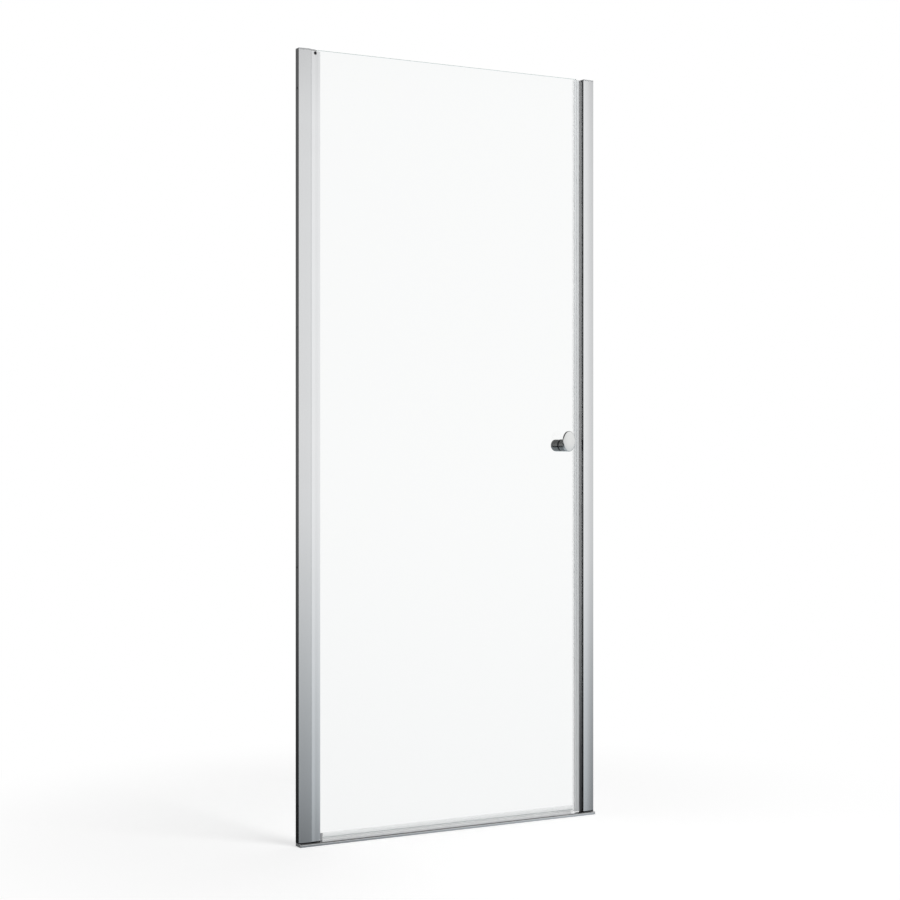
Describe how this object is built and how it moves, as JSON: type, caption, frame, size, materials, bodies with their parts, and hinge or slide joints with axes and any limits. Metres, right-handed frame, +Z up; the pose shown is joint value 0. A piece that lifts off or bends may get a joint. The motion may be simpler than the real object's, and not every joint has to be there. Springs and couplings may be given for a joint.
{
  "type": "pivot shower door",
  "caption": "Pivot shower door for a niche: a clear glass leaf on a bowed stile swings out between two slim wall profiles over a low threshold rail, with a knob and magnetic seals.",
  "frame": {"origin": "on the underside of the threshold rail, half way between the walls, below the middle of the glass thickness", "axes": "+X from the hinge wall to the latch wall, +Y into the shower, so the bathroom side faces -Y, and +Z up"},
  "size_m": [0.88, 0.0785, 2],
  "materials": {
    "bright_aluminium": "bright silver anodised, smooth",
    "clear_glass": "clear toughened glass, polished edges",
    "clear_seal": "translucent soft vinyl",
    "dark_gasket": "matte dark grey",
    "magnet_strip": "flexible bonded magnet, dark",
    "black_plastic": "black moulded nylon",
    "grey_plastic": "silver grey moulded plastic",
    "bearing_plastic": "black acetal bearing plastic",
    "zinc_steel": "zinc plated or stainless steel",
    "knob_chrome": "polished chrome"
  },
  "bodies": {
    "frame": {"hinge_wall_profile": "bright_aluminium", "latch_wall_profile": "bright_aluminium", "hinge_jamb": "bright_aluminium", "latch_jamb": "bright_aluminium", "hinge_wiper_seal": "dark_gasket", "strike_gasket": "dark_gasket", "strike_magnet": "magnet_strip", "hinge_foot_pad": "black_plastic", "latch_foot_pad": "black_plastic", "top_bearing_plate": "zinc_steel", "top_bearing_bush": "bearing_plastic", "bearing_plate_screws": "zinc_steel", "hinge_top_cap": "grey_plastic", "latch_top_cap": "grey_plastic", "threshold_rail": "bright_aluminium", "rail_end_caps": "grey_plastic", "bottom_bearing_block": "black_plastic", "bottom_bearing_bush": "bearing_plastic", "bearing_block_screws": "zinc_steel", "rail_screws": "zinc_steel", "jamb_screws": "zinc_steel", "jamb_screw_covers": "grey_plastic"},
    "door": {"pivot_profile": "bright_aluminium", "glass_panel": "clear_glass", "front_glazing_gasket": "clear_seal", "rear_glazing_gasket": "clear_seal", "glass_setting_block": "black_plastic", "top_pivot_block": "black_plastic", "top_pivot_pin": "zinc_steel", "pivot_lock_screw": "zinc_steel", "bottom_pivot_block": "black_plastic", "bottom_pivot_pin": "zinc_steel", "magnetic_seal": "clear_seal", "door_magnet": "magnet_strip", "drip_seal": "clear_seal", "drip_seal_end": "grey_plastic", "outer_knob_stem": "knob_chrome", "outer_knob_plate": "knob_chrome", "knob_plate_screws": "zinc_steel", "inner_knob": "knob_chrome", "knob_stud": "zinc_steel", "knob_sleeve": "clear_seal", "outer_knob_washer": "dark_gasket", "inner_knob_washer": "dark_gasket", "knob_grub_screw": "zinc_steel"}
  },
  "joints": [
    {"name": "door_swing", "type": "hinge", "parent": "frame", "child": "door", "pos_m": [-0.395, 0, 0], "axis": [0, 0, -1], "range_deg": [0, 100]}
  ]
}
